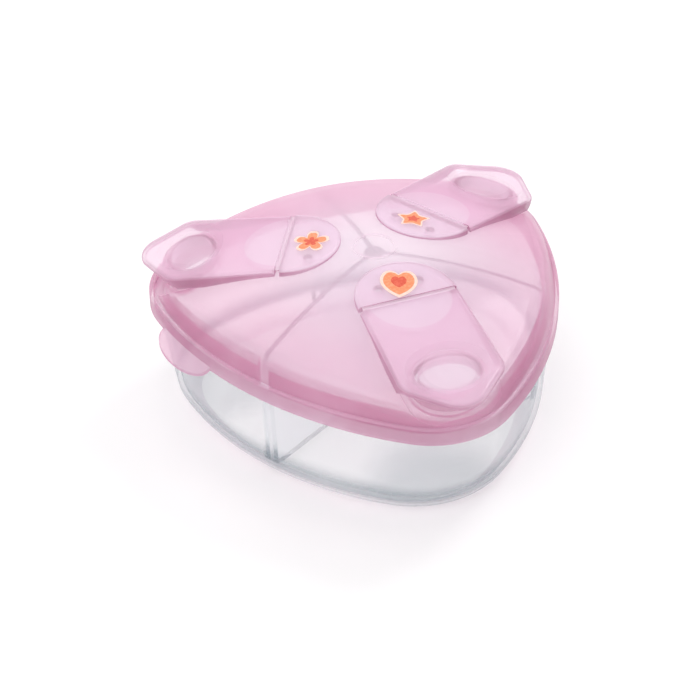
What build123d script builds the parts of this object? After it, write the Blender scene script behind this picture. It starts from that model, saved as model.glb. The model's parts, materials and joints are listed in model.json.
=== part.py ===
from build123d import *
import os
from math import atan2, cos, degrees, hypot, radians, sin, sqrt, tan

# Milk powder container: a clear tub, a loose three-vane divider that makes three compartments,
# a domed lid, and three hinged flaps that each close one pour hole.
# Millimetres, +Z up. The origin is the middle of the tub's underside, on the threefold axis.

# Outline of the lid's skirt: three corner arcs joined by three flatter side arcs
corner_angles = (270, 30, 150)
corner_centre = 43.8
corner_radius = 26.2
side_centre = 60.8

# Heights: the tub's rim, how far the skirt hangs below it, and the dome above the ledge
rim_height = 36.4
skirt_depth = 4.4
dome_rise = 17.8

# Lid shell
lid_wall = 1.4
skirt_wall = 1.3
skirt_clearance = 0.3
skirt_edge_round = 0.3
ledge_step = 1.2
ledge_round = 0.9
shoulder_draft = 20.0
shoulder_round = 8.5
dome_radius = 150.0
dome_slope = 17.5

# Locating rib under the lid and grip beads inside its skirt, two beads to a side
rib_wall = 1.1
rib_depth = 3.0
rib_clearance = 0.3
rib_gap = 1.2
bead_height = 1.0
bead_proud = 0.2
bead_length = 28.0
bead_spacing = 52.0
bead_above_edge = 1.2

# Lift tab on the skirt's lower edge, off the middle of the left side: it juts out and slants down
tab_side_angle = 210.0
tab_turn = -15.6
tab_width = 25.4
tab_reach = 5.0
tab_slant = 31.0
tab_wall = 1.3
tab_round = 0.3

# Round rim on top of the dome
badge_radius = 6.8
badge_rim = 0.8
badge_proud = 0.35

# Tub
tub_wall = 1.6
tub_floor = 1.8
foot_scale = 0.654
foot_corner_radius = 32.8
foot_round = 7.8
rim_round = 0.6

# Divider, and the rails on the tub's wall that hold it
vane_thickness = 1.6
vane_clearance = 0.3
vane_lid_gap = 0.6
hub_radius = 3.2
rail_width = 1.1
rail_reach = 1.8
rail_below_rim = 4.0
rail_clearance = 0.2

# Flaps: the fixed head, the film hinge and the door, measured from the hinge line
hinge_distance = 27.4
hinge_rise = 1.5
head_slope = 6.8
door_slope = 9.0
head_straight = 0.6
head_plate = 1.4
head_round = 1.0
head_seat = 0.1
flap_wall = 1.2
door_plate = 1.1
door_hinge_half_width = 15.6
door_half_width = 16.5
door_shoulder_round = 6.0
door_length = 45.6
door_point_angle = 48.0
door_point_round = 9.0
door_wall_drop = 4.2
door_lip_drop = 2.0
door_lip_slope = 40.0
door_round = 1.6
door_clearance = 0.35
film_gap = 1.5
film_thickness = 0.4
film_depth = 0.45
film_inset = 0.9

# Round land on the lid under each hinge, and the pegs that hold the head
land_inset = 1.2
land_offset = -0.4
peg_radius = 1.5
peg_back = 8.0
peg_spread = 13.0
peg_barb = 0.5
peg_barb_height = 1.0

# Pour hole and its collar in the lid, dish and plug in the door
pour_from_hinge = 29.9
pour_half_length = 10.7
pour_half_width = 7.9
collar_wall = 1.2
collar_gap = 0.9
collar_inside = 1.0
dish_depth = 1.0
dish_spread = 2.2
plug_wall = 1.2
plug_clearance = 0.45
plug_depth = 3.4

# Finger recess in each corner of the lid, round the collar
recess_from_hinge = 22.6
recess_length = 19.5
recess_slope = 27.0
recess_margin = 0.5
recess_taper = 3.0
recess_round = 2.0

# Every cutting tool reaches this far past what it cuts, and edges nearer than touch to a line lie on it
reach = 30.0
touch = 0.05

side_angles = [angle + 180 for angle in corner_angles]
corner_reach = corner_centre + corner_radius
rim_inset = skirt_wall + skirt_clearance
skirt_bottom = rim_height - skirt_depth
ledge_height = rim_height + lid_wall
dome_height = ledge_height + dome_rise
head_radius = door_hinge_half_width
film_half_width = door_hinge_half_width - film_inset
land_radius = door_hinge_half_width - flap_wall - land_inset
door_apex = door_length + door_point_round * (1 / sin(radians(door_point_angle)) - 1)
door_shoulder = door_apex - door_half_width / tan(radians(door_point_angle))
recess_start = hinge_distance + recess_from_hinge
recess_half_width = door_half_width + recess_margin


def unit(angle):
    return Vector(cos(radians(angle)), sin(radians(angle)), 0)


def turned(angle, solid):
    return Rot(0, 0, angle) * solid


# Outlines and main forms


def side_reach(scale=1.0):
    """Distance from a side arc's centre to a corner arc's centre."""
    return hypot(corner_centre + side_centre / 2, side_centre * sqrt(3) / 2) * scale


def rounded_triangle(radius, inset=0.0, scale=1.0):
    """Face of the six-arc outline. Outlines of every scale share the directions where arcs meet."""
    corner = corner_centre * scale
    side = side_centre * scale
    spread = degrees(atan2(side * sqrt(3) / 2, corner + side / 2))
    small = radius - inset
    large = side_reach(scale) + small
    edges = []
    for angle in corner_angles:
        centre = unit(angle) * corner
        start = centre + unit(angle - spread) * small
        middle = centre + unit(angle) * small
        end = centre + unit(angle + spread) * small
        side_middle = unit(angle + 60) * (large - side)
        next_start = unit(angle + 120) * corner + unit(angle + 120 - spread) * small
        edges.append(ThreePointArc(start, middle, end))
        edges.append(ThreePointArc(end, side_middle, next_start))
    return Face(Wire(edges))


def lid_outline(inset=0.0):
    return rounded_triangle(corner_radius, inset)


def lid_prism(inset, bottom, top):
    return extrude(Pos(0, 0, bottom) * lid_outline(inset), top - bottom)


def cone_start(drop):
    """Where the ball cap of the dome runs out into the cone: distance from the axis, and height."""
    radius = dome_radius - drop
    centre_height = dome_height - dome_radius
    return radius * sin(radians(dome_slope)), centre_height + radius * cos(radians(dome_slope))


def dome_level(distance, drop=0.0):
    """Height of the dome, taken down by drop, at this distance from the axis."""
    start, height = cone_start(drop)
    if distance > start:
        return height - (distance - start) * tan(radians(dome_slope))
    return dome_height - dome_radius + sqrt((dome_radius - drop) ** 2 - distance**2)


def dome(drop):
    """Everything under the dome, taken down by drop all over."""
    start, height = cone_start(drop)
    end = corner_reach + reach
    half = (dome_radius - drop) * sin(radians(dome_slope) / 2)
    top = Vector(0, 0, dome_level(0, drop))
    foot = dome_level(end, drop) - reach
    outline = [
        ThreePointArc(top, (half, 0, dome_level(half, drop)), (start, 0, height)),
        Line((start, 0, height), (end, 0, dome_level(end, drop))),
        Line((end, 0, dome_level(end, drop)), (end, 0, foot)),
        Line((end, 0, foot), (0, 0, foot)),
        Line((0, 0, foot), top),
    ]
    return revolve(Face(Wire(outline)), Axis.Z)


def shoulder_fillet(drop):
    """Radius of the shoulder, no more than the low wall at the lid's corners can take."""
    start, height = cone_start(drop)
    foot = corner_reach - ledge_step - drop
    draft = tan(radians(shoulder_draft))
    fall = tan(radians(dome_slope))
    meet = (height - (foot + ledge_height * draft - start) * fall) / (1 - draft * fall)
    wall = (meet - ledge_height) / cos(radians(shoulder_draft))
    turn = 90 - shoulder_draft - dome_slope
    return min(shoulder_round - drop, 0.9 * wall / tan(radians(turn / 2)))


def lid_form(drop):
    """Solid under the lid's top down to the tub's rim, taken in by drop all over."""
    inset = ledge_step + drop
    wall = extrude(Pos(0, 0, ledge_height) * lid_outline(inset), dome_height, taper=shoulder_draft)
    form = wall & dome(drop)
    start = cone_start(drop)[0]
    crease = [
        edge
        for edge in form.edges()
        if min(hypot(v.X, v.Y) for v in edge.vertices()) > start + touch
        and min(v.Z for v in edge.vertices()) > ledge_height + touch
    ]
    form = fillet(crease, shoulder_fillet(drop))
    return form + lid_prism(inset, rim_height, ledge_height)


def tub_section(height, inset):
    """Outline of the tub at this height."""
    part = height / rim_height
    radius = foot_corner_radius + (corner_radius - rim_inset - foot_corner_radius) * part
    scale = foot_scale + (1 - foot_scale) * part
    return Pos(0, 0, height) * rounded_triangle(radius, inset, scale)


def tub_form(inset, bottom, top):
    """Solid inside the tub's wall, taken in by inset, with its lower edge rounded."""
    body = loft([tub_section(bottom, inset), tub_section(top, inset)], ruled=True)
    return fillet(body.faces().sort_by(Axis.Z)[0].edges(), foot_round - inset)


# Frames and outlines of a flap that points along +X


hinge_height = dome_level(hinge_distance) + hinge_rise


def flap_frame(slope):
    """Plane of a flap's top: X runs outwards from the hinge line and Z out of the lid."""
    return Plane(
        origin=(hinge_distance, 0, hinge_height),
        x_dir=(cos(radians(slope)), 0, -sin(radians(slope))),
        z_dir=(sin(radians(slope)), 0, cos(radians(slope))),
    ).location


door_frame = flap_frame(door_slope)
head_frame = flap_frame(head_slope)
hinge_frame = flap_frame((head_slope + door_slope) / 2)


def below(frame, depth):
    """Half space under a plane that lies depth below a flap's top."""
    size = 4 * corner_reach
    return frame * Pos(0, 0, -depth - size / 2) * Box(size, size, size)


def door_outline(inset):
    """Outline of the door: straight hinge edge, slightly flaring sides and a rounded point."""
    corners = [
        (film_gap / 2, -door_hinge_half_width),
        (door_shoulder, -door_half_width),
        (door_apex, 0),
        (door_shoulder, door_half_width),
        (film_gap / 2, door_hinge_half_width),
    ]
    outline = Face(Wire.make_polygon(corners))
    outline = fillet(outline.vertices().sort_by(Axis.X)[-1], door_point_round).face()
    shoulders = [point for point in outline.vertices() if abs(point.X - door_shoulder) < touch]
    outline = fillet(shoulders, door_shoulder_round).face()
    if inset > 0:
        outline = offset(outline, -inset).face()
    return outline


def under_door():
    """Space below the door: below its side walls, and beyond its shoulders below the lip."""
    far = 2 * door_length
    ramp = (door_wall_drop - door_lip_drop) / tan(radians(door_lip_slope))
    side = [
        (-far, 0, -door_wall_drop),
        (door_shoulder - ramp, 0, -door_wall_drop),
        (door_shoulder, 0, -door_lip_drop),
        (far, 0, -door_lip_drop),
        (far, 0, -far),
        (-far, 0, -far),
    ]
    return extrude(Face(Wire.make_polygon(side)), far, both=True)


def head_outline(inset):
    """Half disc behind the hinge line, with short straight sides next to it."""
    edge = -film_gap / 2
    centre = edge - head_straight
    radius = head_radius - inset
    edges = [
        Line((edge, radius, 0), (centre, radius, 0)),
        ThreePointArc((centre, radius, 0), (centre - radius, 0, 0), (centre, -radius, 0)),
        Line((centre, -radius, 0), (edge, -radius, 0)),
        Line((edge, -radius, 0), (edge, radius, 0)),
    ]
    return Face(Wire(edges))


def pour_oval(depth, spread):
    """Ellipse of the pour hole, widened by spread, at this depth under the door's top."""
    oval = Rot(0, 0, 90) * Ellipse(pour_half_length + spread, pour_half_width + spread)
    return Pos(pour_from_hinge, 0, -depth) * oval


def pour_prism(top, bottom, spread):
    return extrude(pour_oval(bottom, spread), bottom - top)


def hinge_slot():
    """Space between head and door, filled only by the film."""
    return hinge_frame * Box(film_gap, 4 * head_radius, reach)


def land(clearance=0.0, lift=0.0):
    """Flat-topped round land under the hinge, between the planes of head and door."""
    disc = Pos(land_offset, 0, 0) * Cylinder(land_radius + clearance, reach)
    top = head_plate - lift
    return (hinge_frame * disc) & below(head_frame, top) & below(door_frame, top)


def peg_depth():
    """Depth of the lid's underside below the head's top, where the pegs go through it."""
    distance = hinge_distance - peg_back * cos(radians(head_slope))
    level = hinge_height + peg_back * sin(radians(head_slope))
    under = dome_level(hypot(distance, peg_spread / 2), lid_wall)
    return (level - under) / cos(radians(head_slope))


def pegs(barbed):
    """Two pegs under the head, with barbs that catch below the lid; without them, their holes."""
    depth = peg_depth() + head_seat
    root = head_plate / 2
    parts = []
    for side in (-1, 1):
        place = Pos(-peg_back, side * peg_spread / 2, 0)
        shank = Pos(0, 0, -(depth + root) / 2) * Cylinder(peg_radius, depth - root)
        if barbed:
            barb_at = Pos(0, 0, -depth - peg_barb_height / 2)
            shank += barb_at * Cone(peg_radius, peg_radius + peg_barb, peg_barb_height)
        else:
            shank += Pos(0, 0, -depth) * Cylinder(peg_radius, 2 * peg_barb_height)
        parts.append(place * shank)
    return head_frame * (parts[0] + parts[1])


def recess(wall):
    """Tool for the sloping finger recess; wall grows it for the inside of the lid."""
    slope = radians(recess_slope)
    floor = Plane(
        origin=(recess_start, 0, dome_level(recess_start) - wall / cos(slope)),
        x_dir=(cos(slope), 0, -sin(slope)),
        z_dir=(sin(slope), 0, cos(slope)),
    )
    wide = recess_half_width + wall
    narrow = wide - recess_taper
    corners = [(0, -wide), (recess_length, -narrow), (recess_length, narrow), (0, wide)]
    prism = extrude(Face(Wire.make_polygon(corners)), reach)
    lowest = prism.faces().sort_by(Axis.Z)[0]
    sides = [edge for edge in lowest.edges() if abs(edge.center().Y) > recess_taper]
    return floor.location * fillet(sides, recess_round + wall)


# Pieces


def make_tub():
    outer = tub_form(0, 0, rim_height)
    outer = fillet(outer.faces().sort_by(Axis.Z)[-1].edges(), rim_round)
    tub = outer - tub_form(tub_wall, tub_floor, rim_height + reach)
    rail_top = rim_height - rail_below_rim
    offset = vane_thickness / 2 + rail_clearance + rail_width / 2
    wall_middle = side_reach() + corner_radius - side_centre - rim_inset
    for angle in side_angles:
        for side in (-1, 1):
            rail = Pos(wall_middle, side * offset, rail_top / 2) * Box(reach, rail_width, rail_top)
            inner = tub_form(tub_wall + rail_reach, tub_floor - tub_wall - rail_reach, rim_height + reach)
            tub += (turned(angle, rail) & outer) - inner
    return tub


def make_divider():
    gap = tub_wall + vane_clearance
    space = loft([tub_section(tub_floor, gap), tub_section(rim_height, gap)], ruled=True)
    space = fillet(space.faces().sort_by(Axis.Z)[0].edges(), foot_round - tub_wall)
    upper = lid_form(lid_wall + vane_lid_gap) & lid_prism(rim_inset + gap, rim_height, dome_height)
    space += upper
    height = 2 * dome_height
    vanes = Cylinder(hub_radius, height)
    for angle in side_angles:
        vanes += turned(angle, Pos(corner_reach / 2, 0, 0) * Box(corner_reach, vane_thickness, height))
    return vanes & space


def make_tab():
    """Half-oval lip that juts out from the skirt's lower edge and slants down."""
    spread = 2 * tab_reach
    low = skirt_bottom - spread * tan(radians(tab_slant))
    wide = Pos(0, 0, low) * lid_outline(-spread)
    under = loft([wide, Pos(0, 0, skirt_bottom) * lid_outline()], ruled=True)
    plate = Pos(0, 0, tab_wall / cos(radians(tab_slant))) * under - under
    angle = tab_side_angle + tab_turn
    middle = unit(tab_side_angle + 180) * side_centre + unit(angle) * (side_reach() + corner_radius)
    oval = Pos(middle.X, middle.Y, 0) * Rot(0, 0, angle) * Ellipse(tab_reach, tab_width / 2)
    tab = plate & extrude(oval, dome_height)
    outermost = tab.edges().sort_by(Axis((0, 0, 0), unit(angle)))[-2:]
    return fillet(outermost, tab_round) - lid_prism(skirt_wall, 0, dome_height)


def make_beads():
    """Low grip beads on the inside of the skirt."""
    low = skirt_bottom + bead_above_edge
    high = low + bead_height
    ring = lid_prism(skirt_wall, low, high) - lid_prism(skirt_wall + bead_proud, low, high)
    strips = Part()
    for angle in side_angles:
        for side in (-1, 1):
            strip = Pos(corner_reach, side * bead_spacing / 2, low) * Box(2 * reach, bead_length, reach)
            strips += turned(angle, strip)
    return ring & strips


def make_rib(outer):
    """Wall that locates the lid inside the tub's rim, open where the vanes stand."""
    inset = tub_wall + rib_clearance
    low = rim_height - rib_depth
    ring = extrude(tub_section(low, inset), dome_height)
    space = extrude(tub_section(low, inset), rib_depth)
    ring -= extrude(tub_section(low, inset + rib_wall), dome_height)
    for angle in side_angles:
        gap = Box(2 * corner_reach, vane_thickness + 2 * rib_gap, 4 * dome_height)
        ring -= turned(angle, Pos(corner_reach, 0, 0) * gap)
    return ring & (outer + space)


def make_lid():
    band = lid_prism(0, skirt_bottom, ledge_height)
    band = fillet(band.faces().sort_by(Axis.Z)[-1].edges(), ledge_round)
    band = fillet(band.faces().sort_by(Axis.Z)[0].edges(), skirt_edge_round)
    form = lid_form(0)
    outer = band + form
    cavity = lid_form(lid_wall) + lid_prism(skirt_wall, skirt_bottom, rim_height)
    collar_top = dish_depth + door_plate + collar_gap
    collar_drop = lid_wall + collar_inside
    collar_core = lid_form(collar_drop) + lid_prism(ledge_step + collar_drop, -reach, rim_height)
    for angle in corner_angles:
        outer += turned(angle, land())
        outer -= turned(angle, recess(0))
        cavity -= turned(angle, recess(lid_wall))
    lid = outer - cavity + make_rib(outer) + make_beads() + make_tab()
    ring = extrude(Circle(badge_radius) - Circle(badge_radius - badge_rim), dome_height + reach)
    lid += ring & (dome(-badge_proud) - dome(lid_wall / 2))
    for angle in corner_angles:
        collar = door_frame * pour_prism(collar_top, reach, collar_wall)
        core = turned(-angle, collar_core) - recess(collar_drop)
        lid += turned(angle, collar - core)
    for angle in corner_angles:
        lid -= turned(angle, door_frame * pour_prism(-reach, reach, 0))
        lid -= turned(angle, pegs(barbed=False))
    return lid


def make_head(angle, form):
    """Fixed end of a flap: a half disc whose rim reaches down to the dome, on two pegs."""
    body = extrude(head_outline(0), -door_wall_drop)
    top = body.faces().sort_by(Axis.Z)[-1]
    rounded = [edge for edge in top.edges() if edge.center().X < -film_gap / 2 - touch]
    body = fillet(rounded, head_round)
    body -= extrude(Pos(0, 0, -head_plate) * head_outline(flap_wall), -door_wall_drop)
    head = (head_frame * body) - turned(-angle, form) - hinge_slot()
    return turned(angle, head + pegs(barbed=True))


def make_film(angle):
    """Thin web between head and door, level with the hinge axis."""
    film = Pos(0, 0, -film_depth) * Box(film_gap, 2 * film_half_width, film_thickness)
    return turned(angle, hinge_frame * film)


def make_door(angle, form):
    """Moving end of a flap: a shallow cap with an oval dish and, under it, the plug."""
    body = extrude(door_outline(0), -2 * door_wall_drop)
    rounded = [edge for edge in body.faces().sort_by(Axis.Z)[-1].edges() if edge.center().X > film_gap]
    body = fillet(rounded, door_round)
    inside = extrude(Pos(0, 0, -door_plate) * door_outline(flap_wall), -2 * door_wall_drop)
    body -= fillet(inside.faces().sort_by(Axis.Z)[-1].edges(), door_round - flap_wall)
    body -= under_door()
    dish = loft([pour_oval(dish_depth, 0), pour_oval(0, dish_spread)], ruled=True)
    body += Pos(0, 0, -door_plate) * dish
    door = door_frame * body
    door -= turned(-angle, form)
    door -= land(door_clearance, (head_plate - door_plate) / 2)
    floor = dish_depth + door_plate
    plug = pour_prism(dish_depth, floor + plug_depth, -plug_clearance)
    plug -= pour_prism(floor, floor + plug_depth, -plug_clearance - plug_wall)
    door += door_frame * plug
    door -= door_frame * dish
    door -= hinge_slot()
    return turned(angle, door)


def write(name, solid):
    export_step(solid, os.path.join("parts", name + ".step"))


os.makedirs("parts", exist_ok=True)
write("tub", make_tub())
write("divider", make_divider())
write("lid", make_lid())
seat_form = lid_form(-head_seat)
sweep_form = lid_form(-door_clearance)
for number, corner in enumerate(corner_angles, start=1):
    write(f"flap_head_{number}", make_head(corner, seat_form))
    write(f"flap_film_{number}", make_film(corner))
    write(f"flap_door_{number}", make_door(corner, sweep_form))
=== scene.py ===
"""Milk powder container: a clear tub with three compartments under a pink lid with three hinged flaps.

The CAD pieces get their finishes here. The film hinges and the prints on the flaps are modelled here.
Lengths are in metres, and a share lies between 0 and 1, unless a field says otherwise.
"""

import json
import logging
import math
from dataclasses import dataclass
from enum import Enum, IntEnum
from functools import cached_property

import bmesh
import bpy
from mathutils import Matrix, Vector

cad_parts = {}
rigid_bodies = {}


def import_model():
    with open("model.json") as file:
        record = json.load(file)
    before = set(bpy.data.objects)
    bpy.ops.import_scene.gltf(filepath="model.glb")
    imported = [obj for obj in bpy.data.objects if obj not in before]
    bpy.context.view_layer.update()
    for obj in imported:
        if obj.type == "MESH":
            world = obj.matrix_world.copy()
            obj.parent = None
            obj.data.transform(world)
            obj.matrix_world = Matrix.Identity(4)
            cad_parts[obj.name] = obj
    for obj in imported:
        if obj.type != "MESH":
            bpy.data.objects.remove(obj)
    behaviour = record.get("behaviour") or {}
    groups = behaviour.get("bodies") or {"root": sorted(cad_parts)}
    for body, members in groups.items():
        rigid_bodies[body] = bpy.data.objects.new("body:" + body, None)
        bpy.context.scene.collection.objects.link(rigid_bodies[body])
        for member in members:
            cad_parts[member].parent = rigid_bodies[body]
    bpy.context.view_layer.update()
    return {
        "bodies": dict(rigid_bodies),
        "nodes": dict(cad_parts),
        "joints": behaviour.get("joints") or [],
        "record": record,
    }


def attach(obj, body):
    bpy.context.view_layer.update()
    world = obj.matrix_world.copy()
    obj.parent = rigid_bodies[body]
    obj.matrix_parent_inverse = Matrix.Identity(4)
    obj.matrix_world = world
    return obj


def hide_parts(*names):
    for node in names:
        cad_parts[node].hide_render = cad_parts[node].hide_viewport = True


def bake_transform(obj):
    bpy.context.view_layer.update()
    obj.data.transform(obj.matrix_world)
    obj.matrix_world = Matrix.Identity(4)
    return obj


LOG = logging.getLogger("milk_powder_container")

# A millimetre in metres, and the directions of the three corners in degrees
MM = 0.001
CORNERS = (270.0, 30.0, 150.0)

# Clear walls that a ray may pass before it ends
CLEAR_WALLS = 32

Colour = tuple[float, float, float]
Point = tuple[float, float, float]
Range = tuple[float, float]
Spot = tuple[float, float]
Socket = bpy.types.NodeSocket
Element = bmesh.types.BMVert | bmesh.types.BMEdge | bmesh.types.BMFace

WHITE: Colour = (1.0, 1.0, 1.0)
PALE_PINK: Colour = (0.95, 0.83, 0.93)
# Colour of the flaps' upright walls: a deeper pink, darker as painted shade.
DEEP_SHADED_PINK: Colour = (0.56, 0.3, 0.42)


class Motif(Enum):
    """What is printed on a flap's head, with the corners of the circle that it is shaped from."""

    FLOWER = 40
    STAR = 10
    HEART = 36


class InkSlot(IntEnum):
    """Slots of a print's inks, in the order in which the inks are put on it."""

    CORE = 0
    BAND = 1
    HALO = 2


def spots(distance: float) -> tuple[Spot, ...]:
    """Finds the points at this distance from the axis, one towards each corner.

    Args:
        distance: How far out, in metres.

    Returns:
        X and Y of the three points.
    """
    angles = [math.radians(corner) for corner in CORNERS]
    return tuple((distance * math.cos(angle), distance * math.sin(angle)) for angle in angles)


class Bench:
    """A node tree, with the few steps that every finish here is put together from.

    Attributes:
        UPRIGHT: Rise of a surface's normal up to which it is upright, and from which it lies flat.
        GRAIN_DETAIL: Octaves of the fine bump.
    """

    UPRIGHT: Range = (0.1, 0.65)
    GRAIN_DETAIL: float = 2.0

    def __init__(
        self, owner: bpy.types.Material | bpy.types.World, shader: str = "Principled BSDF"
    ) -> None:
        """Opens the nodes of a new material or world.

        Args:
            owner: The material or world.
            shader: Name of the shader node that it starts with.
        """
        owner.use_nodes = True
        self.tree = owner.node_tree
        self.shader = self.tree.nodes[shader]

    @cached_property
    def place(self) -> bpy.types.Node:
        """Texture coordinates, added when they are first asked for."""
        return self.add("TexCoord")

    def add(self, kind: str) -> bpy.types.Node:
        """Adds a shader node of this kind."""
        return self.tree.nodes.new(f"ShaderNode{kind}")

    def link(self, source: Socket, target: Socket) -> None:
        """Joins two sockets."""
        self.tree.links.new(source, target)

    def noise(self, scale: float, detail: float) -> Socket:
        """Adds a noise pattern in object space.

        Args:
            scale: Waves per metre.
            detail: Octaves.

        Returns:
            The pattern, from 0 to 1.
        """
        pattern = self.add("TexNoise")
        pattern.inputs["Scale"].default_value = scale
        pattern.inputs["Detail"].default_value = detail
        self.link(self.place.outputs["Object"], pattern.inputs["Vector"])
        return pattern.outputs["Fac"]

    def stretch(self, value: Socket, start: Range, end: Range) -> Socket:
        """Maps one range of values smoothly to another.

        Args:
            value: The value to map.
            start: Lowest and highest value that matter.
            end: What they become.

        Returns:
            The mapped value.
        """
        node = self.add("MapRange")
        node.interpolation_type = "SMOOTHSTEP"
        for socket, number in zip(("From Min", "From Max", "To Min", "To Max"), (*start, *end)):
            node.inputs[socket].default_value = number
        self.link(value, node.inputs["Value"])
        return node.outputs["Result"]

    def combine(self, operation: str, first: Socket, second: Socket) -> Socket:
        """Combines two values with one math operation.

        Args:
            operation: Blender's name of the operation.
            first: The first value.
            second: The second value.

        Returns:
            The result.
        """
        node = self.add("Math")
        node.operation = operation
        self.link(first, node.inputs[0])
        self.link(second, node.inputs[1])
        return node.outputs["Value"]

    def blend(self, first: Socket | Colour, second: Colour, factor: Socket) -> Socket:
        """Mixes two colours.

        Args:
            first: Colour where the factor is 0.
            second: Colour where it is 1.
            factor: The mask.

        Returns:
            The mixed colour.
        """
        node = self.add("MixRGB")
        if isinstance(first, Socket):
            self.link(first, node.inputs["Color1"])
        else:
            node.inputs["Color1"].default_value = (*first, 1.0)
        node.inputs["Color2"].default_value = (*second, 1.0)
        self.link(factor, node.inputs["Fac"])
        return node.outputs["Color"]

    def mix(self, first: Socket, second: Socket, factor: Socket | float) -> Socket:
        """Mixes two shaders.

        Args:
            first: Shader where the factor is 0.
            second: Shader where it is 1.
            factor: One share for the whole surface, or a mask.

        Returns:
            The mixed shader.
        """
        node = self.add("MixShader")
        if isinstance(factor, Socket):
            self.link(factor, node.inputs["Fac"])
        else:
            node.inputs["Fac"].default_value = factor
        self.link(first, node.inputs[1])
        self.link(second, node.inputs[2])
        return node.outputs["Shader"]

    def axis(self, output: str, letter: str) -> Socket:
        """Takes one coordinate from the texture coordinates.

        Args:
            output: Object or Normal.
            letter: X, Y or Z.

        Returns:
            The coordinate.
        """
        node = self.add("SeparateXYZ")
        self.link(self.place.outputs[output], node.inputs["Vector"])
        return node.outputs[letter]

    def upright(self) -> Socket:
        """Works out how upright the surface stands.

        Returns:
            A mask that is 0 where it lies flat and 1 where it is upright.
        """
        size = self.add("Math")
        size.operation = "ABSOLUTE"
        self.link(self.axis("Normal", "Z"), size.inputs[0])
        return self.stretch(size.outputs["Value"], self.UPRIGHT, (1.0, 0.0))

    def away_from(self, x: float, y: float) -> Socket:
        """Measures the distance from an upright line.

        Args:
            x: Where the line stands along X.
            y: Where it stands along Y.

        Returns:
            The distance in metres.
        """
        flat = self.add("VectorMath")
        flat.operation = "MULTIPLY"
        flat.inputs[1].default_value = (1.0, 1.0, 0.0)
        self.link(self.place.outputs["Object"], flat.inputs[0])
        gap = self.add("VectorMath")
        gap.operation = "DISTANCE"
        gap.inputs[1].default_value = (x, y, 0.0)
        self.link(flat.outputs["Vector"], gap.inputs[0])
        return gap.outputs["Value"]

    def facing(self, slant: float) -> Socket:
        """Follows the way through a wall, which is longest at the wall's outline.

        Args:
            slant: How far in from the outline the mask reaches, from 0 to 1.

        Returns:
            A mask that is 0 where the wall is seen square on and 1 at its outline.
        """
        node = self.add("LayerWeight")
        node.inputs["Blend"].default_value = slant
        return node.outputs["Facing"]

    def grain(self, scale: float, height: float) -> None:
        """Gives the surface a fine bump.

        Args:
            scale: Waves per metre.
            height: Height of the bump in metres.
        """
        bump = self.add("Bump")
        bump.inputs["Distance"].default_value = height
        self.link(self.noise(scale, self.GRAIN_DETAIL), bump.inputs["Height"])
        self.link(bump.outputs["Normal"], self.shader.inputs["Normal"])

    def seen(self) -> Socket:
        """Picks out what the camera sees, straight or in gloss or through a clear wall.

        Returns:
            1 for such rays, and 0 for those that light the object.
        """
        path = self.add("LightPath")
        value = path.outputs["Is Camera Ray"]
        for kind in ("Is Glossy Ray", "Is Transmission Ray"):
            value = self.combine("MAXIMUM", value, path.outputs[kind])
        return value


@dataclass(frozen=True)
class Patch:
    """Round patches of another colour, each about an upright line.

    Attributes:
        centres: X and Y of the lines.
        radius: Reach of a patch.
        soft: Width of its soft border.
        colour: The colour there, in some patches painted shade or painted light.
        share: How much of it shows, at least.
    """

    centres: tuple[Spot, ...]
    radius: float
    soft: float
    colour: Colour
    share: float

    def mask(self, bench: Bench) -> Socket:
        """Works out where the patches are.

        Args:
            bench: The material's nodes.

        Returns:
            A mask from 0 to 1.
        """
        gaps = [bench.away_from(x, y) for x, y in self.centres]
        nearest = gaps[0]
        for gap in gaps[1:]:
            nearest = bench.combine("MINIMUM", nearest, gap)
        return bench.stretch(nearest, (self.radius - self.soft, self.radius), (1.0, 0.0))


@dataclass(frozen=True)
class FootShade:
    """Painted shade: a darker band low on an upright wall, where it faces down over the floor's shadow.

    Attributes:
        height: Height at which it has faded out.
        colour: Colour of the painted shade there.
        share: How much of it shows, at least.
    """

    height: float
    colour: Colour
    share: float

    def mask(self, bench: Bench) -> Socket:
        """Works out where the band is.

        Args:
            bench: The material's nodes.

        Returns:
            A mask from 0 to 1.
        """
        low = bench.stretch(bench.axis("Object", "Z"), (0.0, self.height), (1.0, 0.0))
        return bench.combine("MULTIPLY", low, bench.upright())


@dataclass(frozen=True)
class Haze:
    """Low part of a piece, from its middle to its back, that a cloudy lid hides.

    Attributes:
        height: Height up to which it reaches, fading out from half of it.
        front: Y at which it sets in.
        middle: Y from which it is complete.
    """

    height: float
    front: float
    middle: float

    def mask(self, bench: Bench) -> Socket:
        """Works out what is hidden.

        Args:
            bench: The material's nodes.

        Returns:
            A mask from 0 to 1.
        """
        low = bench.stretch(bench.axis("Object", "Z"), (self.height / 2, self.height), (1.0, 0.0))
        behind = bench.stretch(bench.axis("Object", "Y"), (self.front, self.middle), (0.0, 1.0))
        return bench.combine("MULTIPLY", low, behind)


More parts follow.
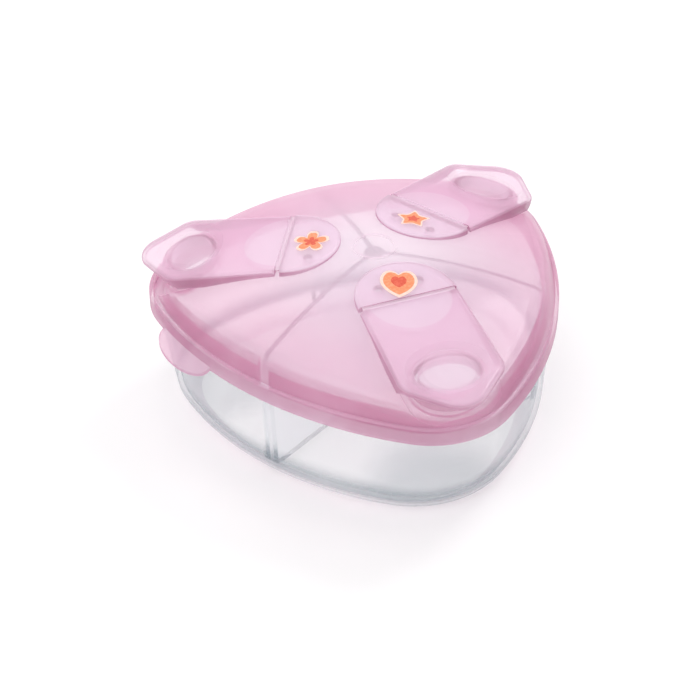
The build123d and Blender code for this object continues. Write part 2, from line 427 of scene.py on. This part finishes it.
@dataclass(frozen=True)
class MouldedPlastic:
    """Thin translucent moulded wall, with one look on broad faces and one on upright walls.

    Each share is how much of the light meets plastic instead of passing straight through.

    Attributes:
        name: The material's name.
        face: Colour of the broad faces.
        wall: Colour of the upright walls, deeper in tone and darker as painted shade.
        streak: Colour of the faint flow marks.
        tint: What passes through takes this colour.
        face_share: Share on the broad faces.
        wall_share: Share on the upright walls.
        edge_share: Share at the outline.
        glow: Part of the plastic's light that comes from behind it.
        roughness: Smallest and greatest roughness.
        zones: Where another colour takes over, the last on top.
        rim: Distances from the axis between which the wall's look, with its painted shade, sets in.
        rim_most: How far it sets in there, from 0 to 1.
        haze: Where the piece has its walls' look because a lid hides it.
        slant: How far in from the outline the plastic looks fuller.
        slant_start: Value of that mask at which it starts.
        flow_scale: Waves per metre of the flow marks.
        flow_detail: Octaves of the flow marks.
        flow_range: Values of the flow pattern that change the roughness.
        streak_range: Values of the flow pattern that show as streaks.
        streak_most: How much of the streaks' colour shows.
        grain_scale: Waves per metre of the fine bump.
        grain_height: Height of the fine bump.
        refraction: Index of refraction of the gloss.
    """

    name: str
    face: Colour
    wall: Colour
    streak: Colour
    tint: Colour
    face_share: float
    wall_share: float
    edge_share: float
    glow: float
    roughness: Range
    zones: tuple[Patch | FootShade, ...] = ()
    rim: Range | None = None
    rim_most: float = 0.35
    haze: Haze | None = None
    slant: float = 0.3
    slant_start: float = 0.15
    flow_scale: float = 34.0
    flow_detail: float = 3.0
    flow_range: Range = (0.2, 0.8)
    streak_range: Range = (0.45, 0.75)
    streak_most: float = 0.35
    grain_scale: float = 2400.0
    grain_height: float = 0.002 * MM
    refraction: float = 1.49

    def build(self) -> bpy.types.Material:
        """Makes the node material.

        Returns:
            The material, ready for a piece's first slot.
        """
        material = bpy.data.materials.new(self.name)
        bench = Bench(material)
        flow = bench.noise(self.flow_scale, self.flow_detail)
        colour, share = self.pigment(bench)
        streaks = bench.stretch(flow, self.streak_range, (0.0, self.streak_most))
        colour = bench.blend(colour, self.streak, streaks)
        roughness = bench.stretch(flow, self.flow_range, self.roughness)
        bench.link(colour, bench.shader.inputs["Base Color"])
        bench.link(roughness, bench.shader.inputs["Roughness"])
        bench.grain(self.grain_scale, self.grain_height)
        bench.shader.inputs["IOR"].default_value = self.refraction
        through = bench.add("BsdfTranslucent")
        bench.link(colour, through.inputs["Color"])
        solid = bench.mix(bench.shader.outputs["BSDF"], through.outputs["BSDF"], self.glow)
        clear = bench.add("BsdfTransparent")
        clear.inputs["Color"].default_value = (*self.tint, 1.0)
        wall = bench.mix(clear.outputs["BSDF"], solid, share)
        bench.link(wall, bench.tree.nodes["Material Output"].inputs["Surface"])
        return material

    def pigment(self, bench: Bench) -> tuple[Socket, Socket]:
        """Works out the plastic's colour, and how much of it shows.

        Args:
            bench: The material's nodes.

        Returns:
            The colour before its streaks, and the share.
        """
        walls = self.walls(bench)
        colour = bench.blend(self.face, self.wall, walls)
        share = bench.stretch(walls, (0.0, 1.0), (self.face_share, self.wall_share))
        for zone in self.zones:
            mask = zone.mask(bench)
            colour = bench.blend(colour, zone.colour, mask)
            zone_share = bench.stretch(mask, (0.0, 1.0), (0.0, zone.share))
            share = bench.combine("MAXIMUM", share, zone_share)
        outline = bench.facing(self.slant)
        edge = bench.stretch(outline, (self.slant_start, 1.0), (0.0, self.edge_share))
        return colour, bench.combine("MAXIMUM", share, edge)

    def walls(self, bench: Bench) -> Socket:
        """Works out where the plastic has its walls' look.

        Args:
            bench: The material's nodes.

        Returns:
            A mask from 0 to 1.
        """
        mask = bench.upright()
        if self.rim:
            rim = bench.stretch(bench.away_from(0.0, 0.0), self.rim, (0.0, self.rim_most))
            mask = bench.combine("MAXIMUM", mask, rim)
        if self.haze:
            mask = bench.combine("MAXIMUM", mask, self.haze.mask(bench))
        return mask


@dataclass(frozen=True)
class PrintInk:
    """Ink printed on plastic, a little uneven where it went on.

    Attributes:
        name: The material's name.
        colour: Colour of the full ink.
        worn: Colour where it is thin.
        roughness: Smallest and greatest roughness.
        rough_range: Values of the ink's pattern that change the roughness.
        worn_range: Values of the pattern between which the ink gets thin.
        screen_scale: Waves per metre of the pattern.
        screen_detail: Octaves of the pattern.
    """

    name: str
    colour: Colour
    worn: Colour
    roughness: Range = (0.28, 0.5)
    rough_range: Range = (0.2, 0.8)
    worn_range: Range = (0.4, 0.7)
    screen_scale: float = 1400.0
    screen_detail: float = 2.0

    def build(self) -> bpy.types.Material:
        """Makes the node material.

        Returns:
            The material, ready for one of a print's slots.
        """
        material = bpy.data.materials.new(self.name)
        bench = Bench(material)
        screen = bench.noise(self.screen_scale, self.screen_detail)
        worn = bench.stretch(screen, self.worn_range, (0.0, 1.0))
        roughness = bench.stretch(screen, self.rough_range, self.roughness)
        bench.link(bench.blend(self.colour, self.worn, worn), bench.shader.inputs["Base Color"])
        bench.link(roughness, bench.shader.inputs["Roughness"])
        return material


def edit(piece: bpy.types.Object, mode: str) -> bmesh.types.BMesh:
    """Opens one piece in edit mode with nothing selected.

    Args:
        piece: The piece to open.
        mode: VERT, EDGE or FACE.

    Returns:
        The mesh being edited.
    """
    bpy.ops.object.select_all(action="DESELECT")
    piece.select_set(True)
    bpy.context.view_layer.objects.active = piece
    bpy.ops.object.mode_set(mode="EDIT")
    bpy.ops.mesh.select_mode(type=mode)
    bpy.ops.mesh.select_all(action="DESELECT")
    return bmesh.from_edit_mesh(piece.data)


def pick(piece: bpy.types.Object, mesh: bmesh.types.BMesh, chosen: list[Element]) -> None:
    """Selects only these vertices, edges or faces.

    Args:
        piece: The piece being edited.
        mesh: Its mesh.
        chosen: What to select.
    """
    bpy.ops.mesh.select_all(action="DESELECT")
    for element in chosen:
        element.select_set(True)
    mesh.select_flush_mode()
    bmesh.update_edit_mesh(piece.data)


def settle(piece: bpy.types.Object, place: Matrix) -> None:
    """Leaves edit mode and puts the piece's place in its mesh.

    Args:
        piece: The piece.
        place: Where its own axes stand in the part's frame.
    """
    bpy.ops.object.mode_set(mode="OBJECT")
    bpy.ops.object.select_all(action="DESELECT")
    piece.select_set(True)
    bpy.context.view_layer.objects.active = piece
    piece.matrix_world = place @ piece.matrix_world
    bpy.ops.object.transform_apply(location=True, rotation=True, scale=True)


def finish(piece: bpy.types.Object, materials: list[bpy.types.Material]) -> None:
    """Puts these materials on a piece and reports it.

    Args:
        piece: The piece.
        materials: One material for each slot.
    """
    slots = piece.data.materials
    for number, material in enumerate(materials):
        if number < len(slots):
            slots[number] = material
        else:
            slots.append(material)
    names = ", ".join(material.name for material in materials)
    LOG.info("%s: %d faces in %s", piece.name, len(piece.data.polygons), names)


@dataclass
class Tub:
    """Clear tub and the loose divider in it."""

    clear: MouldedPlastic = MouldedPlastic(
        name="clear_plastic",
        face=(0.68, 0.76, 0.79),
        # Upright walls are drawn fuller and darker; the darkening is painted shade.
        wall=(0.58, 0.66, 0.69),
        streak=(0.92, 0.95, 0.96),
        tint=(0.99, 0.995, 0.995),
        face_share=0.02,
        wall_share=0.03,
        edge_share=0.9,
        glow=0.35,
        roughness=(0.06, 0.14),
        zones=(
            # Painted shade: grey patches at the three corners, standing in for the lid's shadow on the
            # tub.
            Patch(spots(50 * MM), radius=34 * MM, soft=26 * MM, colour=(0.42, 0.5, 0.54), share=0.15),
            # Painted shade: a darker band low on the tub's walls, where they face down over the floor's
            # shadow.
            FootShade(height=17 * MM, colour=(0.28, 0.34, 0.37), share=0.75),
        ),
        slant=0.2,
    )
    vane: MouldedPlastic = MouldedPlastic(
        name="clear_vane_plastic",
        face=(0.3, 0.31, 0.34),
        wall=(0.62, 0.69, 0.74),
        streak=(0.86, 0.89, 0.92),
        tint=(0.99, 0.995, 1.0),
        face_share=0.6,
        wall_share=0.05,
        edge_share=0.4,
        glow=0.3,
        roughness=(0.08, 0.18),
        haze=Haze(height=20 * MM, front=-10 * MM, middle=-4 * MM),
        slant=0.2,
    )

    def dress(self, nodes: dict[str, bpy.types.Object]) -> None:
        """Gives the two pieces their finishes.

        Args:
            nodes: The CAD pieces by name.
        """
        finish(nodes["tub"], [self.clear.build()])
        finish(nodes["divider"], [self.vane.build()])


@dataclass
class Lid:
    """Domed pink lid, palest in its middle, where a soft highlight is painted."""

    pink: MouldedPlastic = MouldedPlastic(
        name="pink_plastic",
        face=(0.9, 0.57, 0.73),
        # Upright walls, and the rim from 45 mm out, take a deeper pink, darker as painted shade.
        wall=(0.68, 0.31, 0.48),
        streak=(0.94, 0.72, 0.83),
        tint=(1.0, 0.965, 0.985),
        face_share=0.37,
        wall_share=0.48,
        edge_share=0.98,
        glow=0.45,
        roughness=(0.1, 0.18),
        zones=(
            # Painted highlight: the paler middle stands in for a soft reflection on the dome's top.
            Patch(((0.0, 0.0),), radius=52 * MM, soft=48 * MM, colour=(0.95, 0.8, 0.89), share=0.37),
        ),
        rim=(45 * MM, 85 * MM),
        slant=0.55,
    )

    def dress(self, nodes: dict[str, bpy.types.Object]) -> None:
        """Gives the lid its finish.

        Args:
            nodes: The CAD pieces by name.
        """
        finish(nodes["lid"], [self.pink.build()])


@dataclass(frozen=True)
class FilmHinge:
    """Thin web that joins a flap's head to its door, thinnest along its middle.

    Attributes:
        width: Length of the hinge line.
        gap: Width of the slot between head and door.
        bite: How far the web reaches into each of them.
        thickness: Thickness of the web beside its groove.
        groove: Share of the thickness that is left along the middle.
        groove_width: Share of the gap that is thinned.
        cuts: Cuts across the web, from head to door.
        end_round: Size of the rounded corners at its two ends.
        end_steps: Steps of those corners.
        depth: How far the middle of the web lies under the flap's top.
    """

    width: float = 29.4 * MM
    gap: float = 1.5 * MM
    bite: float = 0.12 * MM
    thickness: float = 0.4 * MM
    groove: float = 0.45
    groove_width: float = 0.5
    cuts: int = 7
    end_round: float = 0.075 * MM
    end_steps: int = 2
    depth: float = 0.45 * MM

    def build(self, name: str, place: Matrix) -> bpy.types.Object:
        """Models the web.

        Args:
            name: The piece's name.
            place: The flap's axes: X across the hinge towards the door, Z out of the lid.

        Returns:
            The piece, in the part's frame.
        """
        bpy.ops.mesh.primitive_cube_add(
            size=1.0,
            location=(0, 0, -self.depth),
            scale=(self.gap + 2 * self.bite, self.width, self.thickness),
        )
        web = bpy.context.object
        web.name = name
        bpy.ops.object.transform_apply(location=False, rotation=False, scale=True)
        mesh = edit(web, "EDGE")
        upright = [e for e in mesh.edges if abs(e.verts[0].co.z - e.verts[1].co.z) > self.thickness / 2]
        pick(web, mesh, upright)
        bpy.ops.mesh.bevel(offset=self.end_round, segments=self.end_steps, affect="EDGES")
        mesh = bmesh.from_edit_mesh(web.data)
        across = [e for e in mesh.edges if abs(e.verts[0].co.x - e.verts[1].co.x) > self.gap]
        pick(web, mesh, across)
        bpy.ops.mesh.subdivide(number_cuts=self.cuts)
        bpy.ops.mesh.select_mode(type="VERT")
        mesh = bmesh.from_edit_mesh(web.data)
        pick(web, mesh, [v for v in mesh.verts if abs(v.co.x) < self.groove_width * self.gap / 2])
        bpy.ops.transform.resize(value=(1.0, 1.0, self.groove))
        settle(web, place)
        bpy.ops.object.shade_flat()
        return web


@dataclass(frozen=True)
class HeadPrint:
    """Small ink motif on a flap's head: a halo round a band round a core.

    Attributes:
        motif: What it shows.
        radius: Radius of the circle that the halo is shaped from.
        band: Size of the band as a share of the halo's.
        core: Size of the core as a share of the band's.
        ink: Height of the ink above the head.
        sink: How far it reaches into the head, so that no light comes under it.
        back: Distance of its middle from the hinge line.
        petal_corners: Corners from one gap between petals to the next.
        petal_pulls: How far the corners in, beside and off a gap between petals are drawn in.
        star_waist: How far every other corner of the star is drawn in.
        star_round: Size of the roundings on the star's corners.
        star_steps: Steps of those roundings.
        heart_pulls: Side of the heart, how far it is pulled, and how far the pull reaches, in radii.
    """

    motif: Motif
    radius: float = 5.6 * MM
    band: float = 0.84
    core: float = 0.5
    ink: float = 0.05 * MM
    sink: float = 0.02 * MM
    back: float = 8.1 * MM
    petal_corners: int = 8
    petal_pulls: tuple[float, ...] = (0.5, 0.72, 0.9)
    star_waist: float = 0.56
    star_round: float = 0.7 * MM
    star_steps: int = 3
    heart_pulls: tuple[tuple[int, float, float], ...] = ((-1, 0.5, 0.9), (1, 0.35, 1.3))

    def build(self, name: str, place: Matrix) -> bpy.types.Object:
        """Models the motif.

        Args:
            name: The piece's name.
            place: The head's axes: X across the hinge towards the door, Z out of the lid.

        Returns:
            The piece, in the part's frame, with its slots in InkSlot's order.
        """
        bpy.ops.mesh.primitive_circle_add(
            vertices=self.motif.value,
            radius=self.radius,
            fill_type="NGON",
            location=self.middle(),
        )
        piece = bpy.context.object
        piece.name = name
        mesh = edit(piece, "VERT")
        outlines = {Motif.FLOWER: self.petals, Motif.STAR: self.points, Motif.HEART: self.lobes}
        outlines[self.motif](piece, mesh)
        bpy.ops.mesh.select_mode(type="FACE")
        bpy.ops.mesh.select_all(action="SELECT")
        for slot, inner in ((InkSlot.HALO, self.band), (InkSlot.BAND, self.core), (InkSlot.CORE, None)):
            for face in bmesh.from_edit_mesh(piece.data).faces:
                if face.select:
                    face.material_index = slot.value
            if inner:
                bpy.ops.mesh.inset(thickness=self.sink)
                self.shrink(inner)
        bpy.ops.mesh.select_all(action="SELECT")
        bpy.ops.mesh.extrude_region_move(TRANSFORM_OT_translate={"value": (0, 0, self.sink + self.ink)})
        bpy.ops.mesh.select_all(action="SELECT")
        bpy.ops.mesh.normals_make_consistent(inside=False)
        settle(piece, place)
        return piece

    def middle(self) -> Point:
        """Middle of the motif's underside, on the head's axes."""
        return (-self.back, 0, -self.sink)

    def shrink(self, size: float) -> None:
        """Draws what is selected in towards the motif's middle."""
        bpy.ops.transform.resize(value=(size, size, 1.0), center_override=self.middle())

    def petals(self, piece: bpy.types.Object, mesh: bmesh.types.BMesh) -> None:
        """Draws in the circle between five petals.

        Args:
            piece: The piece being edited.
            mesh: Its mesh.
        """
        step = self.petal_corners
        for away, size in enumerate(self.petal_pulls):
            beside = [v for v in mesh.verts if min(v.index % step, -v.index % step) == away]
            pick(piece, mesh, beside)
            self.shrink(size)

    def points(self, piece: bpy.types.Object, mesh: bmesh.types.BMesh) -> None:
        """Draws in every other corner for a star, and rounds all of them.

        Args:
            piece: The piece being edited.
            mesh: Its mesh.
        """
        pick(piece, mesh, [v for v in mesh.verts if v.index % 2 == 1])
        self.shrink(self.star_waist)
        bpy.ops.mesh.select_all(action="SELECT")
        bpy.ops.mesh.bevel(offset=self.star_round, segments=self.star_steps, affect="VERTICES")

    def lobes(self, piece: bpy.types.Object, mesh: bmesh.types.BMesh) -> None:
        """Pulls the circle into a heart: a notch on one side and a point on the other.

        Args:
            piece: The piece being edited.
            mesh: Its mesh.
        """
        for side, pull, reach in self.heart_pulls:
            pick(piece, mesh, [max(mesh.verts, key=lambda v: side * v.co.x)])
            bpy.ops.transform.translate(
                value=(pull * self.radius, 0, 0),
                use_proportional_edit=True,
                proportional_edit_falloff="SHARP",
                proportional_size=reach * self.radius,
            )


@dataclass(frozen=True)
class FlapMaterials:
    """The finishes of a flap, made once for all three."""

    head: bpy.types.Material
    door: bpy.types.Material
    film: bpy.types.Material
    inks: list[bpy.types.Material]


@dataclass
class Flap:
    """One flap: fixed head with its print, film hinge, and the door that swings.

    Attributes:
        number: Number in the names of its pieces.
        direction: Where it points, in degrees.
        motif: What is printed on its head.
        turn: Turn of the print in degrees.
        materials: Its finishes.
        film: Its hinge.
        hinge_distance: Distance of the hinge line from the lid's axis, along the flap's top.
        head_slope: Fall of the head's top in degrees.
        door_slope: Fall of the door's top in degrees.
    """

    number: int
    direction: float
    motif: Motif
    turn: float
    materials: FlapMaterials
    film: FilmHinge = FilmHinge()
    hinge_distance: float = 27.4 * MM
    head_slope: float = 6.8
    door_slope: float = 9.0

    @property
    def middle_slope(self) -> float:
        """Fall of the film hinge in degrees, halfway between head and door."""
        return (self.head_slope + self.door_slope) / 2

    def axes(self, frame: dict, slope: float) -> Matrix:
        """Finds the flap's axes, level with its top, from its joint.

        Args:
            frame: The loaded frame.
            slope: Fall of the plane in degrees.

        Returns:
            X across the hinge towards the door, Z out of the lid.
        """
        joint = next(j for j in frame["joints"] if j["name"] == f"flap_{self.number}_hinge")
        fall = math.radians(self.middle_slope)
        top = Vector(joint["pos_m"]) + Vector((0, 0, self.film.depth / math.cos(fall)))
        turn = Matrix.Rotation(math.radians(self.direction), 4, "Z")
        origin = turn @ Vector((self.hinge_distance, 0, 0))
        origin.z = top.z - (self.hinge_distance - top.xy.length) * math.tan(fall)
        return Matrix.Translation(origin) @ turn @ Matrix.Rotation(math.radians(slope), 4, "Y")

    def build(self, frame: dict) -> None:
        """Makes the film hinge and the print, and dresses the head and the door.

        Args:
            frame: The loaded frame.
        """
        nodes = frame["nodes"]
        self.build_film(self.axes(frame, self.middle_slope))
        self.build_print(self.axes(frame, self.head_slope))
        finish(nodes[f"flap_head_{self.number}"], [self.materials.head])
        finish(nodes[f"flap_door_{self.number}"], [self.materials.door])

    def build_film(self, place: Matrix) -> None:
        """Makes the film hinge, which reaches from the lid's body to the door's.

        Args:
            place: The hinge's axes.
        """
        film = self.film.build(f"film_hinge_{self.number}", place)
        finish(film, [self.materials.film])
        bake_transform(film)
        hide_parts(f"flap_film_{self.number}")

    def build_print(self, place: Matrix) -> None:
        """Makes the print, turned about its own middle.

        Args:
            place: The head's axes.
        """
        design = HeadPrint(self.motif)
        middle = Matrix.Translation((-design.back, 0, 0))
        spun = middle @ Matrix.Rotation(math.radians(self.turn), 4, "Z") @ middle.inverted()
        motif = design.build(f"head_print_{self.number}", place @ spun)
        finish(motif, self.materials.inks)
        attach(motif, "lid")


@dataclass
class FlapSet:
    """The three flaps, with the finishes and inks that they share.

    Attributes:
        motifs: What is printed on each head.
        turns: Turn of each print in degrees.
        head: Finish of the heads.
        door: Finish of the doors, paler in the dish, and on the land by the hinge as painted light.
        film: Finish of the film hinges.
        inks: Inks of a print, in InkSlot's order.
    """

    motifs: tuple[Motif, Motif, Motif] = (Motif.HEART, Motif.STAR, Motif.FLOWER)
    turns: tuple[float, float, float] = (-21.0, 12.0, 0.0)
    head: MouldedPlastic = MouldedPlastic(
        name="pale_pink_plastic",
        face=PALE_PINK,
        wall=DEEP_SHADED_PINK,
        streak=(0.97, 0.9, 0.95),
        tint=(1.0, 0.97, 0.985),
        face_share=0.5,
        wall_share=0.75,
        edge_share=0.92,
        glow=0.45,
        roughness=(0.08, 0.16),
    )
    door: MouldedPlastic = MouldedPlastic(
        name="pink_door_plastic",
        face=(0.94, 0.73, 0.87),
        wall=DEEP_SHADED_PINK,
        streak=(0.96, 0.84, 0.93),
        tint=(1.0, 0.98, 0.99),
        face_share=0.42,
        wall_share=0.72,
        edge_share=0.92,
        glow=0.45,
        roughness=(0.08, 0.16),
        zones=(
            # Painted light: paler land by the hinge, where less shade falls under the door.
            Patch(spots(27 * MM), radius=13.2 * MM, soft=0.8 * MM, colour=PALE_PINK, share=0.42),
            Patch(spots(57 * MM), radius=9.6 * MM, soft=2.5 * MM, colour=(0.93, 0.74, 0.86), share=0.45),
        ),
    )
    film: MouldedPlastic = MouldedPlastic(
        name="clear_pink_film",
        face=(0.96, 0.88, 0.94),
        wall=DEEP_SHADED_PINK,
        streak=(0.98, 0.94, 0.97),
        tint=(1.0, 0.97, 0.985),
        face_share=0.5,
        wall_share=0.6,
        edge_share=0.9,
        glow=0.5,
        roughness=(0.1, 0.2),
    )
    inks: tuple[PrintInk, PrintInk, PrintInk] = (
        PrintInk("red_ink", colour=(0.66, 0.07, 0.03), worn=(0.72, 0.12, 0.06)),
        PrintInk("orange_ink", colour=(0.82, 0.24, 0.1), worn=(0.86, 0.33, 0.17)),
        PrintInk("pale_ink", colour=(0.9, 0.6, 0.5), worn=(0.9, 0.66, 0.6)),
    )

    def build(self, frame: dict) -> None:
        """Makes the three flaps.

        Args:
            frame: The loaded frame.
        """
        inks = [ink.build() for ink in self.inks]
        materials = FlapMaterials(self.head.build(), self.door.build(), self.film.build(), inks)
        rows = zip(CORNERS, self.motifs, self.turns)
        for number, (direction, motif, turn) in enumerate(rows, start=1):
            Flap(number, direction, motif, turn, materials).build(frame)


@dataclass
class Camera:
    """The photograph's viewpoint.

    Attributes:
        azimuth: Turn of the camera about the object in degrees.
        elevation: Rise of the camera over the floor in degrees.
        roll: Turn of the picture in degrees.
        distance: Distance from the point that it looks at, in metres.
        focal_pixels: Focal length in pixels of the photograph.
        image_side: Side of the photograph in pixels.
        sensor: Width of the sensor in millimetres.
        aim: Point that it looks at, in metres.
    """

    azimuth: float = -21.209
    elevation: float = 36.613
    roll: float = -0.411
    distance: float = 0.72237
    focal_pixels: float = 2319.2
    image_side: float = 700.0
    sensor: float = 36.0
    aim: Point = (-0.007417, 0.001813, 0.0174)

    def build(self) -> bpy.types.Object:
        """Places the camera.

        Returns:
            The camera object, set as the scene's camera.
        """
        data = bpy.data.cameras.new("view")
        data.sensor_width = self.sensor
        data.lens = self.focal_pixels / self.image_side * self.sensor
        camera = bpy.data.objects.new("view", data)
        bpy.context.scene.collection.objects.link(camera)
        turn = math.radians(self.azimuth)
        rise = math.radians(self.elevation)
        level = math.cos(rise)
        back = Vector((math.sin(turn) * level, -math.cos(turn) * level, math.sin(rise)))
        facing = (-back).to_track_quat("-Z", "Y").to_matrix().to_4x4()
        place = Matrix.Translation(Vector(self.aim) + back * self.distance)
        camera.matrix_world = place @ facing @ Matrix.Rotation(math.radians(self.roll), 4, "Z")
        bpy.context.scene.camera = camera
        return camera


@dataclass(frozen=True)
class Lamp:
    """Square soft light that points at the object.

    Attributes:
        name: The lamp's name.
        place: Where it hangs, in metres.
        side: Its side in metres.
        power: Its power in watts.
    """

    name: str
    place: Point
    side: float
    power: float

    def build(self) -> None:
        """Hangs the lamp."""
        lamp = bpy.data.lights.new(self.name, "AREA")
        lamp.size = self.side
        lamp.energy = self.power
        rig = bpy.data.objects.new(self.name, lamp)
        bpy.context.scene.collection.objects.link(rig)
        place = Vector(self.place)
        towards = (-place).to_track_quat("-Z", "Y").to_matrix().to_4x4()
        rig.matrix_world = Matrix.Translation(place) @ towards


@dataclass
class Studio:
    """White floor that keeps a faint shadow, and plain soft light.

    Attributes:
        floor_side: Side of the floor in metres.
        floor_tone: Grey of the floor, from 0 to 1.
        floor_roughness: Roughness of the floor.
        floor_lift: Light that lifts the floor to white where it is seen.
        sky_strength: Strength of the white surroundings as light on the object.
        lamps: The lamps.
    """

    floor_side: float = 6.0
    floor_tone: float = 0.7
    floor_roughness: float = 0.7
    floor_lift: float = 0.25
    sky_strength: float = 0.78
    lamps: tuple[Lamp, ...] = (
        Lamp("key", place=(0.85, 0.4, 1.05), side=0.45, power=5.6),
        Lamp("back", place=(-0.3, 1.0, 0.9), side=0.9, power=2.4),
        Lamp("front", place=(-0.7, -0.5, 0.9), side=0.9, power=4.8),
    )

    def build(self) -> None:
        """Makes the floor, the world and the lamps."""
        bpy.ops.mesh.primitive_plane_add(size=self.floor_side, location=(0, 0, 0))
        floor = bpy.context.object
        floor.name = "floor"
        finish(floor, [self.floor_material()])
        self.sky()
        for lamp in self.lamps:
            lamp.build()

    def sky(self) -> None:
        """Makes the white surroundings, plain white where they are seen."""
        world = bpy.data.worlds.new("studio")
        bpy.context.scene.world = world
        bench = Bench(world, "Background")
        bench.shader.inputs["Color"].default_value = (*WHITE, 1.0)
        strength = bench.stretch(bench.seen(), (0.0, 1.0), (self.sky_strength, 1.0))
        bench.link(strength, bench.shader.inputs["Strength"])

    def floor_material(self) -> bpy.types.Material:
        """Makes the floor's finish: it keeps the shadow, and shows white around it.

        Returns:
            The floor's material.
        """
        material = bpy.data.materials.new("floor")
        bench = Bench(material)
        inputs = bench.shader.inputs
        inputs["Base Color"].default_value = (self.floor_tone, self.floor_tone, self.floor_tone, 1.0)
        inputs["Roughness"].default_value = self.floor_roughness
        inputs["Emission Color"].default_value = (*WHITE, 1.0)
        lift = bench.stretch(bench.seen(), (0.0, 1.0), (0.0, self.floor_lift))
        bench.link(lift, inputs["Emission Strength"])
        return material


def main() -> None:
    """Builds the scene and reports each piece."""
    logging.basicConfig(level=logging.INFO, format="%(name)s %(message)s")
    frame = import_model()
    bpy.ops.object.select_all(action="DESELECT")
    bpy.context.scene.view_settings.view_transform = "Standard"
    bpy.context.scene.cycles.transparent_max_bounces = CLEAR_WALLS
    Camera().build()
    Studio().build()
    Tub().dress(frame["nodes"])
    Lid().dress(frame["nodes"])
    FlapSet().build(frame)


if __name__ == "__main__":
    main()
